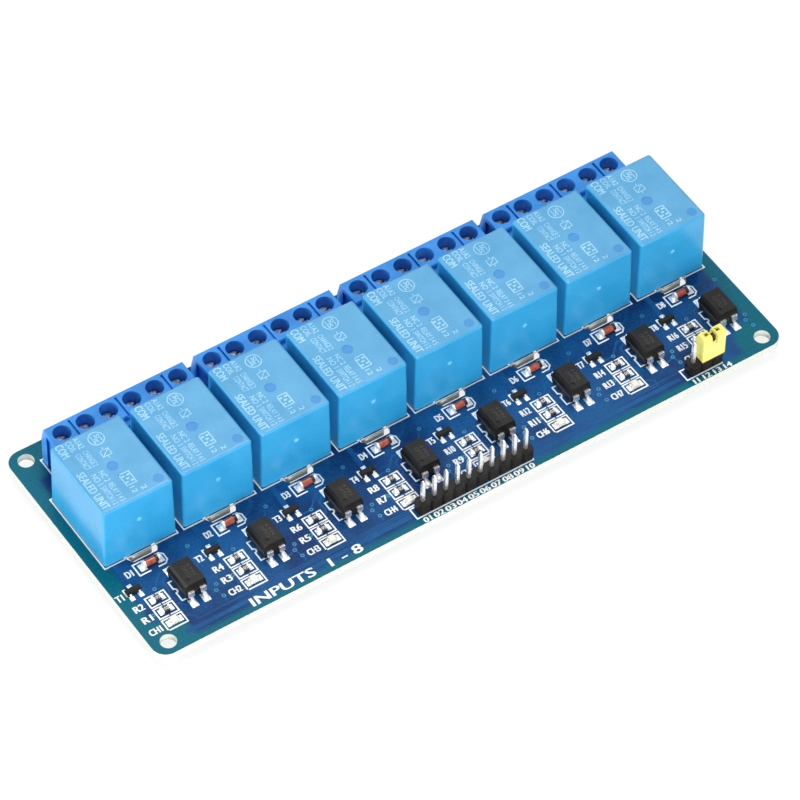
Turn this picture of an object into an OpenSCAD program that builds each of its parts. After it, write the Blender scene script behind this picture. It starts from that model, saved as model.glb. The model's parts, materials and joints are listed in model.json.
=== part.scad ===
// Eight-channel relay board: a circuit board that carries a row of sealed relays,
// screw terminal blocks behind them, and the driver parts and pin headers in front.
// X runs along the board, Y from the header edge to the wire side, Z up.
// The tips of the trimmed leads lie at Z = 0, and the board is centred on the origin.

/* [Board] */
// Thickness of the circuit board
board_t = 1.6; // [1:0.1:2.4]
// Radius of the board's corners
board_r = 3; // [1:0.5:4]
// Bare board beside the longer row of parts, at each end
end_margin = 2.475; // [1.5:0.025:12]
// Diameter of each mounting hole
hole_d = 3.2; // [2:0.1:4]
// Board left between a mounting hole and the short edge
hole_wall_x = 1.8; // [1:0.1:4]
// Board left between a mounting hole and the long edge
hole_wall_y = 1.2; // [1:0.1:4]
// Length of lead left standing out below the board
lead_stick = 1.9; // [1:0.1:3]
// Play of a lead in its drilled hole, on the diameter
lead_play = 0.3; // [0.1:0.05:0.6]
// Width of the milled slot that isolates each relay's common contact
slot_w = 1.25; // [0.6:0.05:1.6]
// Reach of that slot in front of the relay
slot_reach = 1.6; // [1:0.1:2.2]

/* [Rows] */
// Front edge of the board to the pin headers
header_edge = 1.9; // [1:0.1:6]
// Pin headers to the relays' front faces, where the driver parts sit
front_zone = 18.75; // [18.5:0.25:40]
// Gap between relays and terminal blocks
row_gap = 1.35; // [0.5:0.05:8]
// Land between the terminal row and the line of mounting holes
hole_land = 0; // [0:0.1:4]

/* [Relays] */
// Width of a relay case
relay_w = 15.4; // [14:0.1:24]
// Depth of a relay case
relay_d = 19; // [15:0.1:30]
// Height of a relay above the board, feet included
relay_h = 15.2; // [10:0.1:24]
// Gap between neighbouring relays
relay_gap = 1.55; // [0.5:0.05:8]
// Inward lean of each side wall from bottom to top
relay_draft = 0.2; // [0:0.05:0.6]
// Radius of the case's edges
relay_r = 0.6; // [0.2:0.1:1.5]
// Height of the feet under a relay
relay_foot_h = 0.3; // [0.1:0.1:1]
// Outer pins to the case's side walls
relay_pin_side = 1.7; // [1.2:0.1:3]
// End pins to the case's front and back walls
relay_pin_end = 2.4; // [1.4:0.1:4]

/* [Terminal blocks] */
// Spacing of the screws
term_pitch = 5; // [4.8:0.02:8]
// Depth of a terminal block at its foot
term_d = 7.6; // [7.4:0.1:12]
// Height of a terminal block
term_h = 10; // [9.4:0.1:16]
// Gap between groups of blocks
group_gap = 2.5; // [1:0.1:12]
// Sideways shift of the whole terminal row
term_shift = 0.3; // [-1:0.1:1]
// Diameter of a clamp screw's head
screw_head_d = 3.2; // [2.8:0.1:3.6]
// Depth of the screw heads below the block's top
screw_sink = 2.8; // [1:0.1:3]
// Depth of the dovetail that joins neighbouring blocks
dovetail_t = 0.5; // [0.3:0.05:0.55]

/* [Driver parts] */
// Width of an opto-isolator body
opto_w = 4.6; // [4.2:0.1:4.8]
// Depth of an opto-isolator body
opto_d = 6.5; // [6:0.1:7]
// Height of an opto-isolator body
opto_h = 3.5; // [3:0.1:4]
// Opto-isolator body clear of the board
opto_stand = 0.4; // [0.1:0.05:1]
// Opto-isolator lead tip to lead tip
opto_span = 9.9; // [9:0.1:12]
// Length of a round diode
diode_l = 3.5; // [3:0.1:4.5]
// Diameter of a round diode
diode_d = 1.5; // [1:0.1:2]
// Length of a transistor body
trans_l = 2.9; // [2.6:0.1:3.2]
// Width of a transistor body
trans_w = 1.3; // [1.2:0.1:1.6]
// Height of a transistor body
trans_h = 0.95; // [0.8:0.05:1.2]
// Length of a chip resistor or lamp
chip_l = 2; // [1.6:0.1:2.4]
// Width of a chip resistor or lamp
chip_w = 1.25; // [0.8:0.05:1.4]
// Height of a chip resistor
chip_h = 0.55; // [0.3:0.05:0.7]
// Spacing of the chip parts from front to back
chip_step = 3; // [2:0.1:5]

/* [Pin headers] */
// Spacing of the header pins
pin_pitch = 2.54; // [2.3:0.01:3.2]
// Width of a square header pin
pin_w = 0.64; // [0.4:0.01:0.8]
// Free length of a header pin above its base
pin_h = 5.5; // [4.6:0.1:12]
// Depth of a header base
base_w = 2.5; // [2.2:0.1:4]
// Height of a header base
base_h = 2.54; // [1.5:0.01:4]
// Corner chamfer of each header cell
base_chamfer = 0.4; // [0.2:0.05:0.8]
// Sideways shift of the input header from the middle of the board
input_shift = 0.55; // [-4:0.05:4]
// Right end of the board to the middle of the selector header
sel_inset = 16.8; // [8:0.1:30]
// Height of the jumper cap
cap_h = 6.3; // [5.4:0.1:9]
// Wall of the jumper cap
cap_wall = 0.55; // [0.4:0.01:0.7]

/* [Hidden] */
$fn = 24;
e = 0.01;

channels = 8;
groups = 4;
blocks = 3;
input_pins = 10;
input_x = input_shift;
select_pins = 3;

// colours
c_board = [0.05, 0.22, 0.45];
c_relay = [0.25, 0.60, 0.90];
c_term = [0.15, 0.40, 0.85];
c_black = [0.09, 0.09, 0.10];
c_metal = [0.80, 0.81, 0.82];
c_brass = [0.80, 0.66, 0.35];
c_solder = [0.72, 0.73, 0.75];

// heights
z_low = lead_stick;
z_top = z_low + board_t;

// rows from the front edge to the back
board_w = header_edge + base_w + front_zone + relay_d + row_gap + term_d
  + hole_d + hole_wall_y + hole_land;
header_y = -board_w / 2 + header_edge + base_w / 2;
relay_front = header_y + base_w / 2 + front_zone;
relay_y = relay_front + relay_d / 2;
term_front = relay_front + relay_d + row_gap;

// columns along the board
relay_pitch = relay_w + relay_gap;
block_w = 2 * term_pitch;
group_w = blocks * block_w;
relay_row = (channels - 1) * relay_pitch + relay_w;
term_row = groups * group_w + (groups - 1) * group_gap + 2 * dovetail_t;
board_l = max(relay_row, term_row) + 2 * end_margin;
function relay_x(i) = (i - (channels - 1) / 2) * relay_pitch;
function group_x(g) = (g - (groups - 1) / 2) * (group_w + group_gap) + term_shift;
function block_x(g, b) = group_x(g) + (b - (blocks - 1) / 2) * block_w;

// mounting holes
hole_x = board_l / 2 - hole_wall_x - hole_d / 2;
hole_y = board_w / 2 - hole_wall_y - hole_d / 2;

// relay pins: common, two coil pins, two switched contacts
relay_pin_x = relay_w / 2 - relay_pin_side;
com_y = -relay_d / 2 + relay_pin_end;
coil_y = com_y + 2;
contact_y = relay_d / 2 - relay_pin_end;
blade = [1, 0.5];
coil_pin_d = 0.8;
relay_hole_d = blade[0] + lead_play + 0.1;
relay_recess = 0.5;
gate_d = 0.7;
gate_out = 0.1;
gate_z = relay_h - 6.4;
function relay_pin_at(k) =
  k == 0 ? [0, com_y] :
  k < 3 ? [(k == 1 ? -1 : 1) * relay_pin_x, coil_y] :
  [(k == 3 ? -1 : 1) * relay_pin_x, contact_y];

// terminal block sections
screw_head_h = 0.9;
screw_play = 0.2;
shank_d = 2.5;
roof_t = 0.5;
floor_t = 0.7;
well_d = screw_head_d + 2 * screw_play;
seat_z = term_h - screw_sink - screw_head_h;
room_top = seat_z - roof_t;
axis_y = 4.05;
cage_w = 3.3;
cage_d = 3.4;
cage_wall = 0.45;
cage_head = 1.1;
cage_play = 0.15;
cage_z = floor_t + 0.3;
cage_h = room_top - cage_z - 0.3;
bar_t = 0.7;
bar_w = 2.2;
bar_z = cage_z + cage_h - cage_head - 0.5 - bar_t;
leg_y = 1.3;
leg = [1, 0.8];
entry_w = 3.5;
entry_z = 1.3;
entry_h = bar_z + bar_t + 0.5 - entry_z;
groove_w = 0.5;
groove_end = 6;
dovetail_y = 4.8;
dovetail_in = 2.4;
dovetail_out = 1.7;
dovetail_play = 0.1;
dovetail_top = 1.3;

// driver parts, measured from a relay's middle and front face
opto_size = [opto_w, opto_d, opto_h];
trans_size = [trans_l, trans_w, trans_h];
chip_size = [chip_l, chip_w, chip_h];
opto_x = 2.88;
opto_y = -11.25;
diode_y = -3.5;
trans_x = -6.2;
trans_y = -7.35;
chip_x = -3.4;
chip_y = -11.1;

// header holes and pin ends
header_hole_d = pin_w * sqrt(2) + lead_play - 0.15;
taper = 0.18;

// selector header and its cap
sel_x = board_l / 2 - sel_inset;
cap_l = 2 * pin_pitch;
cap_w = base_w + 0.1;
cap_x = sel_x + pin_pitch / 2;
cap_z = z_top + base_h + 0.1;
cap_top_t = 0.9;
notch_w = 1.2;
notch_h = 2.3;
top_hole = pin_w + 0.26;
clip_t = 0.2;
clip_play = 0.06;

module at_channels() {
  for (i = [0 : channels - 1]) translate([relay_x(i), relay_front, z_top]) children();
}

module box(size, at = [0, 0, 0]) {
  translate([at[0] - size[0] / 2, at[1] - size[1] / 2, at[2]]) cube(size);
}

// board with rounded corners, made of true arcs
module board_plate() {
  r = board_r;
  translate([0, 0, z_low]) {
    box([board_l - 2 * r, board_w, board_t]);
    box([board_l, board_w - 2 * r, board_t]);
    for (sx = [-1, 1], sy = [-1, 1])
      translate([sx * (board_l / 2 - r), sy * (board_w / 2 - r), 0])
        cylinder(r = r, h = board_t, $fn = 48);
  }
}

// U-shaped slot that isolates the common contact
module isolation_slot() {
  reach = slot_reach;
  out = relay_pin_x - 2.4;
  nose = out - 1.1;
  w = slot_w;
  back = com_y + relay_d / 2 + 4;
  translate([0, 0, z_low - e]) linear_extrude(board_t + 2 * e) polygon([
    [-out, back], [-out, 0.1], [-nose, -reach], [nose, -reach], [out, 0.1], [out, back],
    [out - w, back], [out - w, 0.5], [nose - w * 0.36, w - reach],
    [w * 0.36 - nose, w - reach], [w - out, 0.5], [w - out, back]
  ]);
}

module through(d, at) {
  translate([at[0], at[1], z_low - e]) cylinder(d = d, h = board_t + 2 * e);
}

module pcb() {
  color(c_board) difference() {
    board_plate();
    for (sx = [-1, 1], sy = [-1, 1])
      translate([sx * hole_x, sy * hole_y, z_low - e])
        cylinder(d = hole_d, h = board_t + 2 * e, $fn = 48);
    for (i = [0 : channels - 1]) {
      translate([relay_x(i), relay_front, 0]) isolation_slot();
      for (k = [0 : 4])
        through(relay_hole_d, [relay_x(i), relay_y] + relay_pin_at(k));
    }
    for (g = [0 : groups - 1], b = [0 : blocks - 1], s = [-1, 1])
      through(leg[0] * 1.28 + lead_play, [block_x(g, b) + s * term_pitch / 2, term_front + leg_y]);
    for (k = [0 : input_pins - 1])
      through(header_hole_d, [input_x + (k - (input_pins - 1) / 2) * pin_pitch, header_y]);
    for (k = [0 : select_pins - 1])
      through(header_hole_d, [sel_x + (k - (select_pins - 1) / 2) * pin_pitch, header_y]);
  }
}

// one sealed relay: leaning walls, rounded edges, potted underside, feet
module relay_case(i) {
  r = relay_r;
  bx = relay_w / 2 - r;
  by = relay_d / 2 - r;
  tx = bx - relay_draft;
  ty = by - relay_draft;
  top = relay_h - relay_foot_h;
  color(c_relay) translate([relay_x(i), relay_y, z_top + relay_foot_h]) {
    difference() {
      hull() {
        for (sx = [-1, 1], sy = [-1, 1]) {
          translate([sx * bx, sy * by, 0]) cylinder(r = r, h = 0.6, $fn = 24);
          translate([sx * tx, sy * ty, top - r]) sphere(r = r, $fn = 24);
        }
      }
      // potting recess in the underside
      box([relay_w - 2.2, relay_d - 2.2, relay_recess + e], [0, 0, -e]);
      // moulding dimple near the middle of the top, and a vent mark near a corner
      translate([0, -0.5, top - 0.12]) cylinder(d = 2.2, h = 1, $fn = 32);
      translate([relay_w / 2 - 2.2, 2.1 - relay_d / 2, top - 0.06]) cylinder(d = 2, h = 1, $fn = 32);
    }
    // gate mark on the front wall
    translate([0, relay_draft * gate_z / top - relay_d / 2, gate_z]) rotate([90, 0, 0])
      translate([0, 0, -0.3]) cylinder(d = gate_d, h = 0.3 + gate_out);
    for (sx = [-1, 1], sy = [-1, 1])
      translate([sx * (relay_w / 2 - 1.1), sy * (relay_d / 2 - 1.1), -relay_foot_h])
        cylinder(d = 1.6, h = relay_foot_h + 0.3);
  }
}

// five pins of each relay, from the potting down to the lead tips
module relay_pins() {
  h = z_top + relay_foot_h + relay_recess;
  color(c_metal) for (i = [0 : channels - 1], k = [0 : 4]) {
    at = [relay_x(i), relay_y] + relay_pin_at(k);
    if (k == 1 || k == 2) translate([at[0], at[1], 0]) cylinder(d = coil_pin_d, h = h);
    else box([blade[0], blade[1], h], [at[0], at[1], 0]);
  }
}

// side outline of a terminal block, front face at y = 0
module block_outline() {
  d = term_d;
  h = term_h;
  polygon([
    [0, 0], [d, 0], [d, h * 0.62], [d - 0.95, h - 0.15], [d - 1.1, h],
    [1.1, h], [0.9, h - 0.25], [0.9, h - 1.2], [0, h - 1.6]
  ]);
}

// dovetail outline in plan, growing along +X from x = 0
module dovetail(play) {
  a = dovetail_out / 2 - play;
  b = dovetail_in / 2 - play;
  t = dovetail_t - play;
  polygon([[-0.2, -a], [0, -a], [t, -b], [t, b], [0, a], [-0.2, a]]);
}

// one two-way terminal block housing
module housing(g, b) {
  zt = term_h - dovetail_top;
  color(c_term) translate([block_x(g, b), term_front, z_top]) difference() {
    union() {
      translate([-block_w / 2, 0, 0]) rotate([90, 0, 90])
        linear_extrude(block_w) block_outline();
      translate([block_w / 2, dovetail_y, 0])
        linear_extrude(zt - dovetail_play) dovetail(dovetail_play);
    }
    // slot that takes the neighbour's dovetail
    translate([-block_w / 2, dovetail_y, -e]) linear_extrude(zt + e) dovetail(0);
    // groove between the two poles
    box([groove_w, groove_end + 1, 1], [0, groove_end / 2 - 0.5, term_h - 0.6]);
    // relief under the foot
    box([block_w - 3.2, 2.4, 0.3 + e], [0, term_d - 2.2, -e]);
    for (s = [-1, 1]) translate([s * term_pitch / 2, 0, 0]) {
      translate([0, axis_y, seat_z]) cylinder(d = well_d, h = term_h, $fn = 32);
      translate([0, axis_y, room_top - e]) cylinder(d = shank_d + 0.4, h = term_h);
      // room for the rising clamp and the contact bar
      box([cage_w + 2 * cage_play, cage_d + 2 * cage_play, room_top - floor_t],
        [0, axis_y, floor_t]);
      box([bar_w + 0.2, axis_y, bar_t + 0.2], [0, axis_y / 2 + leg_y - leg[1] / 2 - 0.1, bar_z - 0.1]);
      box([leg[0] + 0.2, leg[1] + 0.2, bar_z + bar_t + 0.1 + e], [0, leg_y, -e]);
      // wire entry with a stepped mouth
      box([entry_w, term_d, entry_h], [0, axis_y + term_d / 2, entry_z]);
      box([entry_w + 0.7, 1, entry_h + 0.6], [0, term_d, entry_z - 0.3]);
    }
  }
}

module terminals() {
  for (g = [0 : groups - 1], b = [0 : blocks - 1], s = [-1, 1])
    translate([block_x(g, b) + s * term_pitch / 2, term_front, z_top]) children();
}

// slotted clamp screws
module terminal_screws() {
  color(c_metal) terminals() translate([0, axis_y, 0]) difference() {
    union() {
      translate([0, 0, seat_z]) cylinder(d = screw_head_d, h = screw_head_h);
      translate([0, 0, bar_z + bar_t + 0.1])
        cylinder(d = shank_d, h = seat_z - bar_z - bar_t - 0.1 + e);
    }
    rotate([0, 0, 35]) box([4, 0.55, 1], [0, 0, seat_z + screw_head_h - 0.55]);
  }
}

// rising clamp cages, open front to back for the wire
module terminal_clamps() {
  color(c_metal) terminals() translate([0, axis_y, cage_z]) difference() {
    box([cage_w, cage_d, cage_h]);
    box([cage_w - 2 * cage_wall, cage_d + 1, cage_h - cage_wall - cage_head], [0, 0, cage_wall]);
    translate([0, 0, cage_wall + e]) cylinder(d = shank_d + 0.1, h = cage_h);
  }
}

// contact bars with their legs through the board
module terminal_pins() {
  color(c_metal) terminals() {
    box([bar_w, axis_y + cage_d / 2 - leg_y + leg[1] / 2, bar_t],
      [0, (axis_y + cage_d / 2 + leg_y - leg[1] / 2) / 2, bar_z]);
    box([leg[0], leg[1], z_top + bar_z + e], [0, leg_y, -z_top]);
  }
}

// opto-isolator body: two drafted halves, a pin-one dimple
module opto_body(i) {
  s = opto_size;
  slope = 0.25;
  mid = s[2] * 0.54;
  bevel = 0.45;
  color(c_black) translate([relay_x(i) + opto_x, relay_front + opto_y, z_top + opto_stand])
    difference() {
      hull() {
        box([s[0] - 2 * slope, s[1] - 2 * slope, e]);
        box([s[0], s[1], 0.12], [0, 0, mid - 0.06]);
        box([s[0] - 2 * slope, s[1] - 2 * slope, e], [0, 0, s[2] - bevel]);
        box([s[0] - 2 * slope - bevel, s[1] - 2 * slope, e], [bevel / 2, 0, s[2] - e]);
      }
      // mark beside the first lead
      translate([1.35 - s[0] / 2, 1.3 - s[1] / 2, s[2] - 0.15]) cylinder(d = 0.9, h = 1);
    }
}

// gull-wing strip seen from the side: out of the body, down, and along the pad
module gull(from, to, high, t) {
  polygon([
    [from, high], [from + 0.5, high], [to - 0.95, t], [to, t], [to, 0],
    [to - 1.1, 0], [from + 0.42 - t, high - t], [from, high - t]
  ]);
}

module opto_leads() {
  t = 0.25;
  high = opto_stand + opto_size[2] * 0.54 + t / 2;
  color(c_metal) at_channels() translate([opto_x, opto_y, 0])
    for (sx = [-1, 1], sy = [0, 180]) rotate([0, 0, sy])
      translate([sx * pin_pitch / 2, 0, 0]) intersection() {
        translate([-1, 0, 0]) rotate([90, 0, 90])
          linear_extrude(2) gull(opto_size[1] / 2, opto_span / 2, high, t);
        union() {
          box([0.6, 12, high + 1], [0, 0, -e]);
          box([1.2, 12, high], [0, 0, high * 0.55]);
        }
      }
}

// round diodes lying along X
module diode_glass() {
  cap = 0.42;
  color([0.85, 0.45, 0.25, 0.8]) at_channels()
    translate([cap - diode_l / 2, diode_y, diode_d / 2 + 0.02]) rotate([0, 90, 0])
      cylinder(d = diode_d - 0.1, h = diode_l - 2 * cap);
}

module diode_caps() {
  cap = 0.42;
  color(c_metal) at_channels() for (s = [-1, 1])
    translate([s * (diode_l - cap) / 2 - cap / 2, diode_y, diode_d / 2 + 0.02])
      rotate([0, 90, 0]) cylinder(d = diode_d, h = cap);
}

module transistor_bodies() {
  s = trans_size;
  color(c_black) at_channels() translate([trans_x, trans_y, 0.1]) rotate([90, 0, 90])
    translate([0, 0, -s[0] / 2]) linear_extrude(s[0]) polygon([
      [0.1 - s[1] / 2, 0], [s[1] / 2 - 0.1, 0], [s[1] / 2, s[2] * 0.45],
      [s[1] / 2 - 0.2, s[2]], [0.2 - s[1] / 2, s[2]], [-s[1] / 2, s[2] * 0.45]
    ]);
}

module transistor_leads() {
  t = 0.12;
  high = 0.1 + trans_size[2] * 0.5;
  color(c_metal) at_channels() translate([trans_x, trans_y, 0])
    for (p = [[-0.95, 180], [0.95, 180], [0, 0]]) translate([p[0], 0, 0]) rotate([0, 0, p[1]])
      translate([-0.21, 0, 0]) rotate([90, 0, 90]) linear_extrude(0.42) polygon([
        [trans_size[1] / 2, high], [trans_size[1] / 2 + 0.2, high], [trans_size[1] / 2 + 0.3, t],
        [trans_size[1] / 2 + 0.6, t], [trans_size[1] / 2 + 0.6, 0],
        [trans_size[1] / 2 + 0.2, 0], [trans_size[1] / 2 + 0.1, high - t],
        [trans_size[1] / 2, high - t]
      ]);
}

module resistors() {
  at_channels() for (k = [0, 1]) translate([chip_x, chip_y - k * chip_step, 0]) children();
}

module resistor_bodies() {
  s = chip_size;
  color(c_black) resistors() box([s[0] - 0.8, s[1], s[2]], [0, 0, 0]);
}

module resistor_ends() {
  s = chip_size;
  color(c_metal) resistors() for (d = [-1, 1])
    box([0.4, s[1], s[2] - 0.02], [d * (s[0] / 2 - 0.2), 0, 0]);
}

module leds() {
  at_channels() translate([chip_x, chip_y - 2 * chip_step, 0]) children();
}

module led_bases() {
  s = chip_size;
  color([0.95, 0.93, 0.86]) leds() difference() {
    box([s[0], s[1], 0.35]);
    for (d = [-1, 1]) translate([d * s[0] / 2, 0, -e]) cylinder(d = 0.6, h = 1);
  }
}

module led_lenses() {
  s = chip_size;
  color([1, 0.97, 0.88]) leds() translate([0, s[1] / 2, 0.35]) rotate([90, 0, 0])
    linear_extrude(s[1]) polygon([[-0.65, 0], [0.65, 0], [0.55, 0.45], [-0.55, 0.45]]);
}

// moulded header strip: one eight-sided cell for each pin
module header_base(n) {
  c = base_chamfer;
  a = pin_pitch / 2;
  b = base_w / 2;
  color(c_black) difference() {
    for (k = [0 : n - 1])
      translate([(k - (n - 1) / 2) * pin_pitch, 0, 0]) linear_extrude(base_h) polygon([
        [-a, c - b], [c - a, -b], [a - c, -b], [a, c - b],
        [a, b - c], [a - c, b], [c - a, b], [-a, b - c]
      ]);
    for (k = [0 : n - 1])
      box([pin_w, pin_w, base_h + 1], [(k - (n - 1) / 2) * pin_pitch, 0, -0.5]);
  }
}

// square pins with four-sided tapered ends
module pin_profile(h) {
  p = pin_w / 2;
  polygon([
    [taper - p, 0], [p - taper, 0], [p, 0.5], [p, h - 0.5],
    [p - taper, h], [taper - p, h], [-p, h - 0.5], [-p, 0.5]
  ]);
}

module header_pins(n) {
  h = z_top + base_h + pin_h;
  color(c_metal) for (k = [0 : n - 1]) translate([(k - (n - 1) / 2) * pin_pitch, 0, 0])
    intersection() {
      translate([0, 1, 0]) rotate([90, 0, 0]) linear_extrude(2) pin_profile(h);
      translate([-1, 0, 0]) rotate([90, 0, 90]) linear_extrude(2) pin_profile(h);
    }
}

module input_header_base() translate([input_x, header_y, z_top]) header_base(input_pins);
module input_header_pins() translate([input_x, header_y, 0]) header_pins(input_pins);
module selector_header_base() translate([sel_x, header_y, z_top]) header_base(select_pins);
module selector_header_pins() translate([sel_x, header_y, 0]) header_pins(select_pins);

// jumper cap: one sleeve over two pins, notched at the top between them
module jumper_cap() {
  inner = [cap_l - 2 * cap_wall, pin_w + 2 * (clip_play + clip_t) + 0.08];
  color([0.96, 0.93, 0.45]) translate([cap_x, header_y, cap_z]) difference() {
    translate([-cap_l / 2, 0, 0]) rotate([90, 0, 90]) linear_extrude(cap_l) polygon([
      [-cap_w / 2, 0], [cap_w / 2, 0], [cap_w / 2, cap_h - 1.4], [cap_w / 2 - 0.5, cap_h],
      [0.3 - cap_w / 2, cap_h], [-cap_w / 2, cap_h - 0.5]
    ]);
    box([inner[0], inner[1], cap_h - cap_top_t + e], [0, 0, -e]);
    box([notch_w, cap_w + 1, notch_h + 1], [0, 0, cap_h - notch_h]);
    for (s = [-1, 1])
      box([top_hole, top_hole, 3], [s * pin_pitch / 2, 0, cap_h - 1.5]);
  }
}

// spring clip: a back strip bridges two sleeves that wrap the pins
module jumper_clip() {
  g = pin_w / 2 + clip_play;
  h = cap_h - cap_top_t - 0.6;
  x = pin_pitch / 2 + g + clip_t;
  color(c_brass) translate([cap_x, header_y, cap_z + 0.6]) {
    box([2 * x, clip_t, h], [0, g + clip_t / 2, 0]);
    for (s = [-1, 1]) {
      box([clip_t, 2 * g + 2 * clip_t, h], [s * (x - clip_t / 2), 0, 0]);
      box([1, clip_t, h - 0.4], [s * (x - 0.5), -g - clip_t / 2, 0]);
    }
  }
}

// solder cone round one lead, under the board
module solder(r, bore, h) {
  translate([0, 0, z_low - h]) difference() {
    cylinder(r1 = bore / 2 + 0.15, r2 = r, h = h);
    translate([0, 0, -e]) cylinder(d = bore, h = h + 2 * e);
  }
}

module relay_solder() {
  color(c_solder) for (i = [0 : channels - 1], k = [0 : 4]) {
    at = [relay_x(i), relay_y] + relay_pin_at(k);
    translate([at[0], at[1], 0]) solder(1.25, 1.16, 1);
  }
}

module terminal_solder() {
  color(c_solder) for (g = [0 : groups - 1], b = [0 : blocks - 1], s = [-1, 1])
    translate([block_x(g, b) + s * term_pitch / 2, term_front + leg_y, 0]) solder(1.3, 1.32, 1.1);
}

module header_solder() {
  color(c_solder) for (h = [[input_x, input_pins], [sel_x, select_pins]])
    for (k = [0 : h[1] - 1])
      translate([h[0] + (k - (h[1] - 1) / 2) * pin_pitch, header_y, 0])
        solder(0.95, pin_w * sqrt(2) + 0.02, 0.9);
}

pcb();
for (i = [0 : channels - 1]) {
  relay_case(i);
  opto_body(i);
}
for (g = [0 : groups - 1], b = [0 : blocks - 1])
  housing(g, b);
relay_pins();
terminal_screws();
terminal_clamps();
terminal_pins();
opto_leads();
diode_glass();
diode_caps();
transistor_bodies();
transistor_leads();
resistor_bodies();
resistor_ends();
led_bases();
led_lenses();
input_header_base();
input_header_pins();
selector_header_base();
selector_header_pins();
jumper_cap();
jumper_clip();
relay_solder();
terminal_solder();
header_solder();
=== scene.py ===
"""Relay module board: its finishes, white print, solder and studio light."""
import json
from math import atan2, cos, hypot, radians, sin

import bmesh
import bpy
from mathutils import Matrix, Vector

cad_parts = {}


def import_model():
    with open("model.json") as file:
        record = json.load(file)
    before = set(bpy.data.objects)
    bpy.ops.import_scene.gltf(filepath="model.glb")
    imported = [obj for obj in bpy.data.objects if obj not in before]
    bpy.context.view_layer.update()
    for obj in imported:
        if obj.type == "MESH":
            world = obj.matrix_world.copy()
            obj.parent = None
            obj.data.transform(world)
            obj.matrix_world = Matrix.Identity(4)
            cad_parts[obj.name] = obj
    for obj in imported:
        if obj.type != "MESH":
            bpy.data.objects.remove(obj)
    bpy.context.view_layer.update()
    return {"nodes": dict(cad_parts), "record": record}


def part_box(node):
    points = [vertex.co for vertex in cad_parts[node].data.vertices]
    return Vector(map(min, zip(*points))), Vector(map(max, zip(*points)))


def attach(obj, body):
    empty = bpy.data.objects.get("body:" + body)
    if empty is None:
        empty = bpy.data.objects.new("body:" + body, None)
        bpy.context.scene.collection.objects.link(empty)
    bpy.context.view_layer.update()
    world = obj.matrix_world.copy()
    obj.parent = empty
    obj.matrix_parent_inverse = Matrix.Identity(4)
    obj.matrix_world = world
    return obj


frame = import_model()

MM = 0.001

# ---------------------------------------------------------------- places, from the frame

BOARD_LOW, BOARD_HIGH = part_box("pcb")
TOP = BOARD_HIGH.z
UNDER = BOARD_LOW.z
CHANNELS = 8
GROUPS = 4
BLOCKS = 3
RELAYS = [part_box(f"relay_case_{i + 1}") for i in range(CHANNELS)]
RELAY_X = [(low.x + high.x) / 2 for low, high in RELAYS]
RELAY_FRONT = RELAYS[0][0].y
RELAY_BACK = RELAYS[0][1].y
RELAY_TOP = RELAYS[0][1].z
RELAY_HALF = (RELAYS[0][1].x - RELAYS[0][0].x) / 2
PIN_PITCH = 2.54 * MM
HOLES = next(m for m in frame["record"]["mounts"] if m["name"] == "mounting_holes")
HOLE_X = HOLES["dims"]["spacing_x_mm"] / 2 * MM
HOLE_Y = HOLES["dims"]["spacing_y_mm"] / 2 * MM
INPUT_X = sum(corner.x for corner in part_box("input_header_pins")) / 2
HEADER_Y = sum(corner.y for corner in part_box("input_header_pins")) / 2
INPUT_PINS = 10
POLE_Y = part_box("terminal_pins")[0].y + 0.4 * MM
POLE_PITCH = 5.0 * MM
DOVETAIL = 0.4 * MM

# each channel's small parts, in millimetres from the middle of its relay's front face
DIODE_Y = -3.5
TRANSISTOR_X = -6.2
TRANSISTOR_ROWS = (-8.6, -6.1)
OPTO_X = 2.88
OPTO_ROWS = (-15.5, -7.0)
OPTO_LEAD = 1.27
CHIP_X = -3.4
RESISTOR_ROWS = (-11.1, -14.1)
CHIP_LAMP_Y = -17.1
VIAS = [(-2.67, -8.95), (-5.97, -13.95), (7.63, -3.75),
        (6.63, -15.25), (7.33, -14.05), (7.13, -17.05)]

# moulded marks of a relay: two shallow recesses in its top and a pip on its front
RECESSES = (((0.0, 9.0), 1.08, 0.1), ((5.5, 2.1), 0.98, 0.04))
PIP_DROP = 6.1 * MM

# thicknesses of the layers, and the hair by which crossing layers differ
INK = 0.02 * MM
FILM = 0.006 * MM
TOP_COPPER = 0.012 * MM
UNDER_COPPER = 0.02 * MM
HAIR = 0.0004 * MM
RUN_HAIR = 0.0015 * MM
STRIKE_HAIR = 0.002 * MM

# width of a printed line
LINE = 0.29 * MM


def channel(i, x, y):
    """A place in millimetres from the middle of relay i's front face, as x and y in metres."""
    return RELAY_X[i] + x * MM, RELAY_FRONT + y * MM


# ---------------------------------------------------------------- materials

def new_material(name):
    """A material with one shader: the material, its tree and the shader."""
    material = bpy.data.materials.new(name)
    material.use_nodes = True
    tree = material.node_tree
    tree.nodes.clear()
    shader = tree.nodes.new("ShaderNodeBsdfPrincipled")
    output = tree.nodes.new("ShaderNodeOutputMaterial")
    tree.links.new(shader.outputs[0], output.inputs[0])
    return material, tree, shader


def place_node(tree):
    """Object coordinates, in millimetres."""
    coordinates = tree.nodes.new("ShaderNodeTexCoord")
    scale = tree.nodes.new("ShaderNodeMapping")
    scale.inputs["Scale"].default_value = (1 / MM, 1 / MM, 1 / MM)
    tree.links.new(coordinates.outputs["Object"], scale.inputs["Vector"])
    return scale.outputs[0]


def split_axes(tree, vector):
    """The x, y and z sockets of a vector."""
    node = tree.nodes.new("ShaderNodeSeparateXYZ")
    tree.links.new(vector, node.inputs[0])
    return node.outputs


def noise(tree, place, scale, detail=3.0, rough=0.5):
    """Cloudy noise; scale is in waves a millimetre."""
    node = tree.nodes.new("ShaderNodeTexNoise")
    node.inputs["Scale"].default_value = scale
    node.inputs["Detail"].default_value = detail
    node.inputs["Roughness"].default_value = rough
    tree.links.new(place, node.inputs["Vector"])
    return node.outputs["Fac"]


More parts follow.
